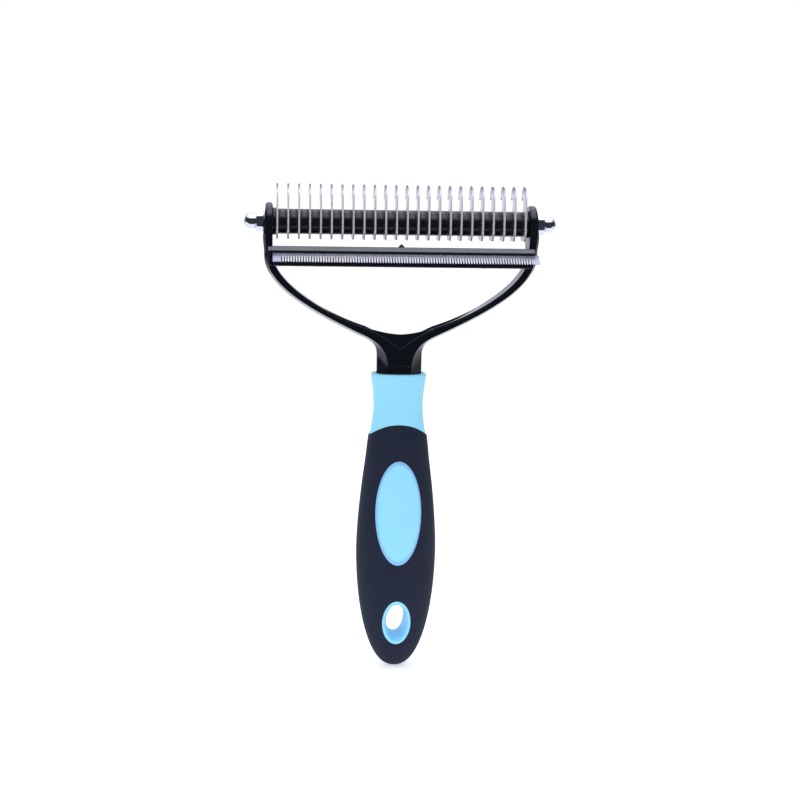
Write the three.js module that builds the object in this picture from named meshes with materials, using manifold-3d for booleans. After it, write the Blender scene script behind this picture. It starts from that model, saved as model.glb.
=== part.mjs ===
// Dematting comb: a pack of hooked blades on a tie rod and a fine deshedding blade, on one fork with a soft handle.
// Millimetres. +Z runs from the tail of the handle to the blades, X across the comb, and the front faces -Y.
import * as THREE from "three";
import { mergeVertices } from "three/addons/utils/BufferGeometryUtils.js";
import Module from "manifold-3d";

const wasm = await Module();
wasm.setup();

// ---- driving dimensions ----
const GAP = 0.3; // clearance between pieces that are cut for each other
const FRONT_REACH = 13.3; // foremost edge, the tips of the deshedding blade
const BACK_REACH = 11.3; // rearmost face, the back of the grip
const CENTRE_Y = (FRONT_REACH - BACK_REACH) / 2; // puts the middle of the depth on Y = 0

const AXIS_Z = 175.6; // tie rod
const ROD_RADIUS = 2; // M4
const ROD_HOLE_RADIUS = ROD_RADIUS + 0.1;
const BLADE_COUNT = 24;
const BLADE_PITCH = 4.13;
const BLADE_THICKNESS = 0.8;
const BLADE_FRONT = 6.4; // blade body, either side of the rod
const BLADE_BOTTOM = 6.5;
const BLADE_TOP = 14.4; // top of the hooked tooth above the rod
const STACK_GAP = 0.15; // between a blade and its spacer
const SPACER_RADIUS = 4.8;
const FLANGE_RADIUS = 5.2;

const EAR_OUTER = 52.4;
const EAR_INNER = 49.2;
const EAR_RADIUS = 7.2;
const FORK_DEPTH = 10;
const WEB_Z = 133; // bottom of the fork's opening
const NECK_HALF = 8.7;
const NECK_CHAMFER = 2.6;
const NECK_BASE_Z = 112;
const NECK_TOP_Z = 124.5;
const TANG_BASE_Z = 60;
const TANG_HALF_WIDTH = 5.5;
const TANG_HALF_DEPTH = 3;

const BAR_BOTTOM_Z = 159;
const BAR_TOP_Z = 166.6;
const BAR_BACK_Y = 4.5;
const BAR_FRONT_Y = -8.8;
const BAR_HALF = 51;
const SEAT_Z = 164.3; // underside of the bar, which the deshedding blade is clamped against

const STRIP_LEFT = -49.2;
const STRIP_RIGHT = 53.4;
const STRIP_THICKNESS = 0.5;
const STRIP_BACK_Y = -1.8;
const STRIP_BEND_Y = -8.6;
const STRIP_TIP = [-FRONT_REACH, 160.7]; // y and z of the tooth tips
const FINE_TOOTH_PITCH = 1.02;
const FINE_TOOTH_COUNT = 92;
const FINE_TOOTH_LENGTH = 3.2;
const SCREW_X = 32;
const SCREW_Y = -4;

const NUT_FLATS = 7; // M4 cap nut
const NUT_HEX_LENGTH = 3;
const NUT_DOME_RADIUS = 3.1;
const NUT_LENGTH = 7.7;

const GRIP_HALF_WIDTH = 15.7;
const GRIP_HALF_DEPTH = BACK_REACH;
const GRIP_WIDEST_Z = 48;
const GRIP_TOP_Z = 93.3; // at the sides
const GRIP_ARCH = 4.2; // rise of the grip's top edge at the front and back
const COLLAR_TOP_Z = 117;
const SLEEVE_WALL = 2;
const PAD = { z: 63.8, halfWidth: 9.2, halfHeight: 21 };
const EYELET = { z: 19.2, halfWidth: 5.8, halfHeight: 9, holeHalfWidth: 3.8, holeHalfHeight: 6.9 };

// ---- materials ----
const surface = (color, roughness, metalness) => new THREE.MeshStandardMaterial({ color, roughness, metalness });
const MATERIALS = {
  glossBlack: surface(0x101216, 0.18, 0),
  spacerBlack: surface(0x1a1c22, 0.32, 0),
  steel: surface(0xc9ccd6, 0.22, 1),
  chrome: surface(0xe2e5ec, 0.08, 1),
  skyBlue: surface(0x97dcfb, 0.5, 0),
  softBlack: surface(0x262a38, 0.85, 0),
};

const comb = new THREE.Group();
comb.position.y = CENTRE_Y;

function addPiece(name, geometry, material) {
  const mesh = new THREE.Mesh(geometry, material);
  mesh.name = name;
  comb.add(mesh);
  return mesh;
}

// ---- solid helpers ----
// A closed geometry as a solid that can be cut and joined.
function toSolid(geometry) {
  const bare = geometry.clone();
  bare.deleteAttribute("normal");
  bare.deleteAttribute("uv");
  const merged = mergeVertices(bare, 1e-4);
  const mesh = new wasm.Mesh({
    numProp: 3,
    vertProperties: new Float32Array(merged.attributes.position.array),
    triVerts: new Uint32Array(merged.index.array),
  });
  return new wasm.Manifold(mesh);
}

function toGeometry(solid) {
  const mesh = solid.getMesh();
  const geometry = new THREE.BufferGeometry();
  geometry.setAttribute("position", new THREE.BufferAttribute(new Float32Array(mesh.vertProperties), 3));
  geometry.setIndex(new THREE.BufferAttribute(new Uint32Array(mesh.triVerts), 1));
  geometry.computeVertexNormals();
  return geometry;
}

function box(x0, x1, y0, y1, z0, z1) {
  const geometry = new THREE.BoxGeometry(x1 - x0, y1 - y0, z1 - z0);
  return geometry.translate((x0 + x1) / 2, (y0 + y1) / 2, (z0 + z1) / 2);
}

// A shape drawn in Y and Z, extruded along X from x0 to x1.
function extrudeAlongX(shape, x0, x1, curveSegments = 6) {
  const geometry = new THREE.ExtrudeGeometry(shape, { depth: x1 - x0, bevelEnabled: false, curveSegments });
  const turn = new THREE.Matrix4().makeBasis(
    new THREE.Vector3(0, 1, 0),
    new THREE.Vector3(0, 0, 1),
    new THREE.Vector3(1, 0, 0),
  );
  return geometry.applyMatrix4(turn).translate(x0, 0, 0);
}

// A shape drawn in X and Z, extruded along Y about the middle plane.
function extrudeAlongY(shape, depth, curveSegments) {
  const geometry = new THREE.ExtrudeGeometry(shape, { depth, bevelEnabled: false, curveSegments });
  return geometry.rotateX(Math.PI / 2).translate(0, depth / 2, 0);
}

function cylinderAlongX(radius, x0, x1, segments) {
  const geometry = new THREE.CylinderGeometry(radius, radius, x1 - x0, segments);
  return geometry.rotateZ(-Math.PI / 2).translate((x0 + x1) / 2, 0, AXIS_Z);
}

function cylinderAlongZ(radius, x, y, z0, z1) {
  const geometry = new THREE.CylinderGeometry(radius, radius, z1 - z0, 16);
  return geometry.rotateX(Math.PI / 2).translate(x, y, (z0 + z1) / 2);
}

function ellipseAlongY(halfWidth, halfHeight, z, y0, y1) {
  const segments = 32;
  const geometry = new THREE.CylinderGeometry(1, 1, y1 - y0, segments).rotateY(Math.PI / segments);
  return geometry.scale(halfWidth, 1, halfHeight).translate(0, (y0 + y1) / 2, z);
}

function polygon(points) {
  return new THREE.Shape(points.map(([x, y]) => new THREE.Vector2(x, y)));
}

// ---- comb pack: tie rod, hooked blades and spacers ----
// The side outline of a blade about the rod: a squared body, and a tooth that sweeps up and hooks over backwards.
function bladeShape() {
  const shape = new THREE.Shape();
  const top = AXIS_Z + BLADE_TOP;
  const z = (height) => AXIS_Z + height;
  shape.moveTo(-3.8, z(-BLADE_BOTTOM));
  shape.lineTo(3.8, z(-BLADE_BOTTOM));
  shape.lineTo(BLADE_FRONT, z(-3.8));
  shape.lineTo(BLADE_FRONT, z(2));
  shape.lineTo(4, z(4.4));
  shape.lineTo(1.6, z(4.5));
  shape.bezierCurveTo(0.4, z(5.6), -0.2, z(7), 0.1, z(8.4));
  shape.bezierCurveTo(1.2, z(11.6), 3.5, z(11.6), 4.6, z(9));
  shape.bezierCurveTo(4.8, z(12.2), 3.6, top, 0.9, top);
  shape.bezierCurveTo(-1.2, top, -3, z(13.8), -3.9, z(12.4));
  shape.bezierCurveTo(-5.2, z(9.8), -BLADE_FRONT, z(8), -BLADE_FRONT, z(5));
  shape.lineTo(-BLADE_FRONT, z(-3.8));
  shape.closePath();
  return shape;
}

function rodHole() {
  const hole = new THREE.Path();
  hole.absarc(0, AXIS_Z, ROD_HOLE_RADIUS, 0, 2 * Math.PI, true);
  return hole;
}

function addBlades() {
  const shape = bladeShape();
  shape.holes.push(rodHole());
  for (let i = 0; i < BLADE_COUNT; i++) {
    const x = (i - (BLADE_COUNT - 1) / 2) * BLADE_PITCH;
    const geometry = extrudeAlongX(shape, x - BLADE_THICKNESS / 2, x + BLADE_THICKNESS / 2);
    addPiece(`comb_blade_${String(i + 1).padStart(2, "0")}`, geometry, MATERIALS.steel);
  }
}

function ringGeometry(radius, x0, x1) {
  const shape = new THREE.Shape().absarc(0, AXIS_Z, radius, 0, 2 * Math.PI);
  shape.holes.push(rodHole());
  return extrudeAlongX(shape, x0, x1, 8);
}

function addSpacers() {
  const half = (BLADE_PITCH - BLADE_THICKNESS) / 2 - STACK_GAP;
  for (let i = 1; i < BLADE_COUNT; i++) {
    const x = (i - BLADE_COUNT / 2) * BLADE_PITCH;
    const geometry = ringGeometry(SPACER_RADIUS, x - half, x + half);
    addPiece(`spacer_${String(i).padStart(2, "0")}`, geometry, MATERIALS.spacerBlack);
  }
  const lastBladeFace = ((BLADE_COUNT - 1) * BLADE_PITCH + BLADE_THICKNESS) / 2;
  const inner = lastBladeFace + STACK_GAP;
  const outer = EAR_INNER - STACK_GAP;
  addPiece("end_spacer_left", ringGeometry(FLANGE_RADIUS, -outer, -inner), MATERIALS.spacerBlack);
  addPiece("end_spacer_right", ringGeometry(FLANGE_RADIUS, inner, outer), MATERIALS.spacerBlack);
}

function addTieRod() {
  const half = EAR_OUTER + NUT_LENGTH - 2.6;
  addPiece("tie_rod", cylinderAlongX(ROD_RADIUS, -half, half, 16), MATERIALS.steel);
}

// A domed cap nut: a hexagon against the ear, then a round dome closed at the end.
function addCapNut(name, side) {
  const start = EAR_OUTER + STACK_GAP;
  const shoulder = start + NUT_HEX_LENGTH;
  const domeStart = start + NUT_LENGTH - NUT_DOME_RADIUS;
  const profile = [new THREE.Vector2(0, 0), new THREE.Vector2(NUT_DOME_RADIUS, 0)];
  const steps = 5;
  for (let i = 0; i <= steps; i++) {
    const angle = (i / steps) * (Math.PI / 2);
    const radius = i === steps ? 0 : NUT_DOME_RADIUS * Math.cos(angle);
    profile.push(new THREE.Vector2(radius, domeStart - shoulder + 0.5 + NUT_DOME_RADIUS * Math.sin(angle)));
  }
  const dome = new THREE.LatheGeometry(profile, 20).rotateZ(-Math.PI / 2).translate(shoulder - 0.5, 0, AXIS_Z);
  const hexagon = cylinderAlongX(NUT_FLATS / Math.sqrt(3), start, shoulder, 6);
  const bore = cylinderAlongX(ROD_HOLE_RADIUS, start - 1, EAR_OUTER + NUT_LENGTH - 2.2, 16);
  const nut = toSolid(hexagon).add(toSolid(dome)).subtract(toSolid(bore));
  const geometry = toGeometry(nut);
  if (side < 0) geometry.rotateZ(Math.PI);
  addPiece(name, geometry, MATERIALS.chrome);
}

// ---- fork: two curved arms, ears, cross bar, neck and the tang inside the handle ----
function forkOutline() {
  const right = new THREE.Path();
  right.moveTo(0, NECK_TOP_Z);
  right.lineTo(NECK_HALF, NECK_TOP_Z);
  right.bezierCurveTo(NECK_HALF, 128, 10, 129.4, 13, 131);
  right.bezierCurveTo(38.5, 142.5, EAR_OUTER, 152, EAR_OUTER, 163);
  right.lineTo(EAR_OUTER, AXIS_Z - 5);
  right.lineTo(EAR_INNER, AXIS_Z - 5);
  right.lineTo(EAR_INNER, 163);
  right.bezierCurveTo(48.4, 149, 16, WEB_Z + 0.5, 0, WEB_Z);
  const points = right.getPoints(12);
  const mirrored = points.slice(1, -1).reverse().map((p) => new THREE.Vector2(-p.x, p.y));
  return new THREE.Shape([...points, ...mirrored]);
}

function earGeometry(side) {
  const shape = new THREE.Shape();
  shape.moveTo(-FORK_DEPTH / 2, 158);
  shape.lineTo(FORK_DEPTH / 2, 158);
  shape.lineTo(EAR_RADIUS, AXIS_Z - 4);
  shape.lineTo(EAR_RADIUS, AXIS_Z);
  shape.absarc(0, AXIS_Z, EAR_RADIUS, 0, Math.PI);
  shape.lineTo(-EAR_RADIUS, AXIS_Z - 4);
  shape.closePath();
  const x0 = side > 0 ? EAR_INNER : -EAR_OUTER;
  return extrudeAlongX(shape, x0, x0 + EAR_OUTER - EAR_INNER, 14);
}

function barSection() {
  return polygon([
    [BAR_BACK_Y, BAR_BOTTOM_Z],
    [BAR_BACK_Y, BAR_TOP_Z - 0.8],
    [BAR_BACK_Y - 0.8, BAR_TOP_Z],
    [BAR_FRONT_Y + 1.6, BAR_TOP_Z],
    [BAR_FRONT_Y, BAR_TOP_Z - 1.4],
    [BAR_FRONT_Y, SEAT_Z],
    [BAR_BACK_Y - 3, SEAT_Z],
    [BAR_BACK_Y - 3, BAR_BOTTOM_Z],
  ]);
}

// The neck is a flat bar with bevelled corners; clearance widens it into the socket of the handle.
function neckSolid(clearance, top) {
  const x = NECK_HALF + clearance;
  const y = FORK_DEPTH / 2 + clearance;
  const shape = polygon([
    [-x, NECK_CHAMFER - y],
    [NECK_CHAMFER - x, -y],
    [x - NECK_CHAMFER, -y],
    [x, NECK_CHAMFER - y],
    [x, y - NECK_CHAMFER],
    [x - NECK_CHAMFER, y],
    [NECK_CHAMFER - x, y],
    [-x, y - NECK_CHAMFER],
  ]);
  const base = NECK_BASE_Z - clearance;
  const geometry = new THREE.ExtrudeGeometry(shape, { depth: top - base, bevelEnabled: false });
  return toSolid(geometry.translate(0, 0, base));
}

function tangSolid(clearance, top) {
  const x = TANG_HALF_WIDTH + clearance;
  const y = TANG_HALF_DEPTH + clearance;
  return toSolid(box(-x, x, -y, y, TANG_BASE_Z - clearance, top));
}

function addForkFrame() {
  const centreNub = new THREE.ConeGeometry(1, 1.4, 8).rotateX(Math.PI / 2).translate(0, -3.5, BAR_TOP_Z + 0.5);
  const stripSlot = box(STRIP_LEFT - GAP, EAR_OUTER + 2, BAR_FRONT_Y - 1, STRIP_BACK_Y + GAP, SEAT_Z - 1.2, SEAT_Z);
  const clampRoom = box(-EAR_INNER, EAR_INNER, -20, BAR_BACK_Y - 3, BAR_BOTTOM_Z - 1, SEAT_Z);
  let fork = toSolid(extrudeAlongY(forkOutline(), FORK_DEPTH, 12))
    .add(neckSolid(0, NECK_TOP_Z + 1))
    .add(tangSolid(0, NECK_BASE_Z + 1))
    .add(toSolid(earGeometry(1)))
    .add(toSolid(earGeometry(-1)))
    .add(toSolid(extrudeAlongX(barSection(), -BAR_HALF, BAR_HALF)))
    .add(toSolid(box(-BAR_HALF, STRIP_LEFT - GAP, BAR_FRONT_Y, 0, BAR_BOTTOM_Z + 1, BAR_TOP_Z - 1.4)))
    .add(toSolid(centreNub))
    .subtract(toSolid(clampRoom))
    .subtract(toSolid(stripSlot))
    .subtract(toSolid(cylinderAlongX(ROD_HOLE_RADIUS, -EAR_OUTER - 1, EAR_OUTER + 1, 16)));
  for (const x of [-SCREW_X, SCREW_X])
    fork = fork.subtract(toSolid(cylinderAlongZ(1.3, x, SCREW_Y, SEAT_Z - 1, BAR_TOP_Z - 0.6)));
  addPiece("fork_frame", toGeometry(fork), MATERIALS.glossBlack);
}

// ---- deshedding blade, its clamp and screws ----
// A bent strip: a flat flange under the bar and a nose that slopes down to the fine teeth.
function stripSection() {
  const top = SEAT_Z - STACK_GAP;
  const bottom = top - STRIP_THICKNESS;
  const [tipY, tipZ] = STRIP_TIP;
  return polygon([
    [STRIP_BACK_Y, bottom],
    [STRIP_BACK_Y, top],
    [STRIP_BEND_Y, top],
    [tipY, tipZ + 0.2],
    [tipY + 0.2, tipZ - 0.1],
    [STRIP_BEND_Y + 0.2, bottom],
  ]);
}

// The strip in plan, seen square to its nose, is cut by a row of notches that leaves the teeth.
function addDesheddingBlade() {
  let strip = toSolid(extrudeAlongX(stripSection(), STRIP_LEFT, STRIP_RIGHT));
  const middle = (STRIP_LEFT + STRIP_RIGHT) / 2;
  const slope = Math.atan2(SEAT_Z - STRIP_TIP[1], STRIP_BEND_Y - STRIP_TIP[0]);
  const notchHalf = FINE_TOOTH_PITCH * 0.21;
  const notches = [];
  for (let i = 0; i < FINE_TOOTH_COUNT; i++) {
    const x = middle + (i - (FINE_TOOTH_COUNT - 1) / 2) * FINE_TOOTH_PITCH;
    const notch = box(x - notchHalf, x + notchHalf, -1, FINE_TOOTH_LENGTH, -1, 1);
    notches.push(toSolid(notch.rotateX(slope).translate(0, STRIP_TIP[0], STRIP_TIP[1])));
  }
  strip = strip.subtract(wasm.Manifold.union(notches));
  for (const x of [-SCREW_X, SCREW_X])
    strip = strip.subtract(toSolid(cylinderAlongZ(1.4, x, SCREW_Y, SEAT_Z - 2, SEAT_Z + 1)));
  addPiece("deshedding_blade", toGeometry(strip), MATERIALS.steel);
}

function addBladeClamp() {
  const top = SEAT_Z - STACK_GAP - STRIP_THICKNESS - GAP;
  const section = polygon([
    [BAR_BACK_Y - 3 - GAP, BAR_BOTTOM_Z],
    [BAR_BACK_Y - 3 - GAP, top],
    [STRIP_BEND_Y + 0.8, top],
    [STRIP_TIP[0] + 1.9, BAR_BOTTOM_Z + 1.1],
    [STRIP_TIP[0] + 2.4, BAR_BOTTOM_Z],
  ]);
  const half = EAR_INNER - GAP;
  let clamp = toSolid(extrudeAlongX(section, -half, half));
  for (const x of [-SCREW_X, SCREW_X]) {
    clamp = clamp
      .subtract(toSolid(cylinderAlongZ(1.4, x, SCREW_Y, BAR_BOTTOM_Z - 1, top + 1)))
      .subtract(toSolid(cylinderAlongZ(2.6, x, SCREW_Y, BAR_BOTTOM_Z - 1, BAR_BOTTOM_Z + 1.8)));
  }
  addPiece("blade_clamp", toGeometry(clamp), MATERIALS.glossBlack);
}

// A self-tapping screw with a round head, driven from below through the clamp and the blade into the bar.
function addClampScrew(name, x) {
  const head = toSolid(cylinderAlongZ(2.2, x, SCREW_Y, BAR_BOTTOM_Z + 0.2, BAR_BOTTOM_Z + 1.5));
  const shank = toSolid(cylinderAlongZ(1, x, SCREW_Y, BAR_BOTTOM_Z + 1, BAR_TOP_Z - 0.9));
  const slot = toSolid(box(x - 1.5, x + 1.5, SCREW_Y - 0.25, SCREW_Y + 0.25, BAR_BOTTOM_Z, BAR_BOTTOM_Z + 0.7));
  addPiece(name, toGeometry(head.add(shank).subtract(slot)), MATERIALS.steel);
}

// ---- handle ----
const SECTION_POINTS = 32;
const SECTION_POWER = 0.9; // under 1 makes the oval section a little fuller than an ellipse

// Half width of the handle at a height: a rounded tail, a full palm swell, a waisted collar with a flared lip.
function handleHalfWidth(z) {
  if (z <= GRIP_WIDEST_Z) {
    const fall = Math.min(1, (GRIP_WIDEST_Z - z) / GRIP_WIDEST_Z);
    return GRIP_HALF_WIDTH * Math.pow(1 - fall * fall, 1 / 2.3);
  }
  const rise = Math.min(z, GRIP_TOP_Z) - GRIP_WIDEST_Z;
  const swell = GRIP_HALF_WIDTH - 0.0103 * Math.pow(rise, 1.6);
  if (z <= GRIP_TOP_Z) return swell;
  const along = (z - GRIP_TOP_Z) / (COLLAR_TOP_Z - GRIP_TOP_Z);
  return swell - 1.55 * Math.sin(Math.PI * Math.pow(along, 0.85)) - 0.5 * along;
}

function handleHalfDepth(z) {
  const share = GRIP_HALF_DEPTH / GRIP_HALF_WIDTH;
  const above = Math.max(0, z - GRIP_WIDEST_Z) / (COLLAR_TOP_Z - GRIP_WIDEST_Z);
  return handleHalfWidth(z) * (share + 0.06 * above);
}

function sectionPoint(angle, z, inset) {
  const c = Math.cos(angle);
  const s = Math.sin(angle);
  const x = Math.sign(c) * Math.pow(Math.abs(c), SECTION_POWER) * (handleHalfWidth(z) - inset);
  const y = Math.sign(s) * Math.pow(Math.abs(s), SECTION_POWER) * (handleHalfDepth(z) - inset);
  return new THREE.Vector3(x, y, z);
}

// The top edge of the grip rises in an arch at the front and at the back.
function archZ(angle) {
  return GRIP_TOP_Z + GRIP_ARCH * Math.pow(Math.abs(Math.sin(angle)), 1.5);
}

// A closed solid through a stack of handle sections; low and high give the end heights at each angle.
function handleLoft(low, high, rows, inset) {
  const positions = [];
  const index = [];
  for (let j = 0; j <= rows; j++) {
    const share = (1 - Math.cos((Math.PI * j) / rows)) / 2;
    for (let i = 0; i < SECTION_POINTS; i++) {
      const angle = (2 * Math.PI * i) / SECTION_POINTS;
      const z = THREE.MathUtils.lerp(low(angle), high(angle), share);
      positions.push(...sectionPoint(angle, z, inset).toArray());
    }
  }
  for (let j = 0; j < rows; j++)
    for (let i = 0; i < SECTION_POINTS; i++) {
      const a = j * SECTION_POINTS + i;
      const b = j * SECTION_POINTS + ((i + 1) % SECTION_POINTS);
      index.push(a, b, b + SECTION_POINTS, a, b + SECTION_POINTS, a + SECTION_POINTS);
    }
  const bottom = positions.length / 3;
  const top = bottom + 1;
  const last = rows * SECTION_POINTS;
  positions.push(0, 0, low(0), 0, 0, high(0));
  for (let i = 0; i < SECTION_POINTS; i++) {
    const next = (i + 1) % SECTION_POINTS;
    index.push(bottom, next, i, top, last + i, last + next);
  }
  const geometry = new THREE.BufferGeometry();
  geometry.setAttribute("position", new THREE.Float32BufferAttribute(positions, 3));
  geometry.setIndex(index);
  return geometry;
}

const level = (z) => () => z;

function padCutter(clearance) {
  const reach = GRIP_HALF_DEPTH + 5;
  return toSolid(ellipseAlongY(PAD.halfWidth + clearance, PAD.halfHeight + clearance, PAD.z, -reach, reach));
}

function eyeletCutter(halfWidth, halfHeight) {
  const reach = GRIP_HALF_DEPTH + 5;
  return toSolid(ellipseAlongY(halfWidth, halfHeight, EYELET.z, -reach, reach));
}

// The stiff blue body of the handle: collar, core, thumb pads at the front and back, and the eyelet.
function addHandleCore() {
  const outer = toSolid(handleLoft(level(0.01), level(COLLAR_TOP_Z), 30, 0));
  const inner = toSolid(handleLoft(level(2.6), level(COLLAR_TOP_Z - 1), 22, SLEEVE_WALL + GAP));
  const collar = toSolid(handleLoft((a) => archZ(a) + GAP, level(COLLAR_TOP_Z), 12, 0));
  const core = inner
    .add(collar)
    .add(padCutter(0).intersect(outer))
    .add(eyeletCutter(EYELET.halfWidth, EYELET.halfHeight).intersect(outer))
    .subtract(eyeletCutter(EYELET.holeHalfWidth, EYELET.holeHalfHeight))
    .subtract(neckSolid(GAP, COLLAR_TOP_Z + 1))
    .subtract(tangSolid(GAP, COLLAR_TOP_Z + 1));
  addPiece("handle_core", toGeometry(core), MATERIALS.skyBlue);
}

// The soft black overmould, with windows for the pads and the eyelet.
function addGripSleeve() {
  const outer = toSolid(handleLoft(level(0), archZ, 30, 0));
  const inner = toSolid(handleLoft(level(2.3), level(COLLAR_TOP_Z - 1), 22, SLEEVE_WALL));
  const sleeve = outer
    .subtract(inner)
    .subtract(padCutter(GAP))
    .subtract(eyeletCutter(EYELET.halfWidth + GAP, EYELET.halfHeight + GAP));
  addPiece("grip_sleeve", toGeometry(sleeve), MATERIALS.softBlack);
}

addForkFrame();
addDesheddingBlade();
addBladeClamp();
addClampScrew("clamp_screw_left", -SCREW_X);
addClampScrew("clamp_screw_right", SCREW_X);
addHandleCore();
addGripSleeve();
addTieRod();
addCapNut("cap_nut_left", -1);
addCapNut("cap_nut_right", 1);
addBlades();
addSpacers();

export default comb;
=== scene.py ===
"""Dematting comb: the looks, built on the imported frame.

Lengths in the mesh code are millimetres, placed in metres."""
import math

import bmesh
import bpy
from mathutils import Matrix, Vector


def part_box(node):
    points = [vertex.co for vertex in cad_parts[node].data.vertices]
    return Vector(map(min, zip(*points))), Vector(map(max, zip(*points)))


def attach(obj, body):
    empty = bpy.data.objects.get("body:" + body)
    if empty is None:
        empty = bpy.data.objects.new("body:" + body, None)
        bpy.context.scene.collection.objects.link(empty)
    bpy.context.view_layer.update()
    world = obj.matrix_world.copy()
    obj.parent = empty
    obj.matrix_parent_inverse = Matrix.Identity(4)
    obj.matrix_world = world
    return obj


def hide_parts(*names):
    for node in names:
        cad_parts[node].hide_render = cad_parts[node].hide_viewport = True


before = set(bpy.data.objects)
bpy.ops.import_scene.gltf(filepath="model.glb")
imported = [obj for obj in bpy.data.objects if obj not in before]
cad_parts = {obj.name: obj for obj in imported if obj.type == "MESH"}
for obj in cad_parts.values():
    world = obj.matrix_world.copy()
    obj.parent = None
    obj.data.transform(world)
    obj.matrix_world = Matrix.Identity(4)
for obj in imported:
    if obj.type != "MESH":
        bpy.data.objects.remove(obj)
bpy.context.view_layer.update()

MM = 0.001


def box_mm(node):
    low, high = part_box(node)
    return low / MM, high / MM


# ---- driving places, from the frame's boxes where they give them ----
FIT_GAP = 0.15  # room beside a piece that sits in the fork
ROD_LOW, ROD_HIGH = box_mm("tie_rod")
MID_Y = (ROD_LOW.y + ROD_HIGH.y) / 2
AXIS_Z = (ROD_LOW.z + ROD_HIGH.z) / 2
FORK_HIGH = box_mm("fork_frame")[1]
EAR_OUTER = FORK_HIGH.x
EAR_INNER = box_mm("end_spacer_right")[1].x + FIT_GAP
EAR_RADIUS = FORK_HIGH.z - AXIS_Z
CORE_HIGH = box_mm("handle_core")[1]
CLAMP_LOW, CLAMP_HIGH = box_mm("blade_clamp")
STRIP_LOW, STRIP_HIGH = box_mm("deshedding_blade")
BLADES = sorted(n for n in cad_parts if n.startswith("comb_blade_"))
SPACERS = sorted(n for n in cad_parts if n.startswith("spacer_"))

FORK_HALF_DEPTH = 5.0
ARM_TOP_Z = 163.0  # where the arm turns into the ear
WEB_Z = 133.0
NECK_BASE_Z = 113.0
BAR_TOP_Z = 166.6
BAR_BOTTOM_Z = CLAMP_LOW.z
BAR_BACK = 4.5
BAR_FRONT = -8.8
BAR_HALF_LENGTH = 51.0
SEAT_Z = STRIP_HIGH.z + FIT_GAP


# ---- mesh helpers ----
def add_object(name, vertices, faces, material, smooth_angle=35.0):
    """A mesh object from points in millimetres, with normals facing out."""
    mesh = bpy.data.meshes.new(name)
    mesh.from_pydata([Vector(v) * MM for v in vertices], [], faces)
    bm = bmesh.new()
    bm.from_mesh(mesh)
    bmesh.ops.remove_doubles(bm, verts=bm.verts, dist=1e-6)
    bmesh.ops.recalc_face_normals(bm, faces=bm.faces)
    bm.to_mesh(mesh)
    bm.free()
    mesh.polygons.foreach_set("use_smooth", [True] * len(mesh.polygons))
    mesh.set_sharp_from_angle(angle=math.radians(smooth_angle))
    mesh.materials.append(material)
    obj = bpy.data.objects.new(name, mesh)
    bpy.context.scene.collection.objects.link(obj)
    return obj


def add_bevel(obj, width, segments=3, angle=28.0):
    bevel = obj.modifiers.new("soft_edges", "BEVEL")
    bevel.width = width * MM
    bevel.segments = segments
    bevel.limit_method = "ANGLE"
    bevel.angle_limit = math.radians(angle)
    bevel.harden_normals = True
    return obj


def place(obj, body, slot, *nodes):
    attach(obj, body)
    if nodes:
        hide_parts(*nodes)
    return obj


def bezier(p0, p1, p2, p3, steps, start=0.0, stop=1.0):
    """Points along a cubic curve, both ends included."""
    points = []
    for i in range(steps + 1):
        t = start + (stop - start) * i / steps
        u = 1 - t
        early = Vector(p0) * u**3 + Vector(p1) * 3 * u * u * t
        points.append(early + Vector(p2) * 3 * u * t * t + Vector(p3) * t**3)
    return points


def line(p0, p1, steps):
    return [Vector(p0).lerp(Vector(p1), i / steps) for i in range(steps + 1)]


def loft_faces(rows, columns, closed=True):
    """Quads between rows of points, each row being a ring when closed."""
    faces = []
    span = columns if closed else columns - 1
    for j in range(rows - 1):
        for i in range(span):
            a = j * columns + i
            b = j * columns + (i + 1) % columns
            faces.append((a, b, b + columns, a + columns))
    return faces


def ring_solid(name, rings, material, smooth_angle=35.0):
    """A closed solid through rings of equal length, with flat ends."""
    count = len(rings[0])
    vertices = [p for ring in rings for p in ring]
    faces = loft_faces(len(rings), count)
    faces.append(tuple(range(count - 1, -1, -1)))
    last = (len(rings) - 1) * count
    faces.append(tuple(range(last, last + count)))
    return add_object(name, vertices, faces, material, smooth_angle)


def extruded(outline, x0, x1):
    """Vertices and faces of an outline in Y and Z, run along X."""
    count = len(outline)
    vertices = [(x, MID_Y + y, z) for x in (x0, x1) for y, z in outline]
    faces = [(i, (i + 1) % count, count + (i + 1) % count, count + i) for i in range(count)]
    faces.append(tuple(range(count - 1, -1, -1)))
    faces.append(tuple(range(count, 2 * count)))
    return vertices, faces


def merge(parts):
    vertices, faces = [], []
    for part_vertices, part_faces in parts:
        start = len(vertices)
        vertices.extend(part_vertices)
        faces.extend(tuple(start + i for i in face) for face in part_faces)
    return vertices, faces


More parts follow.
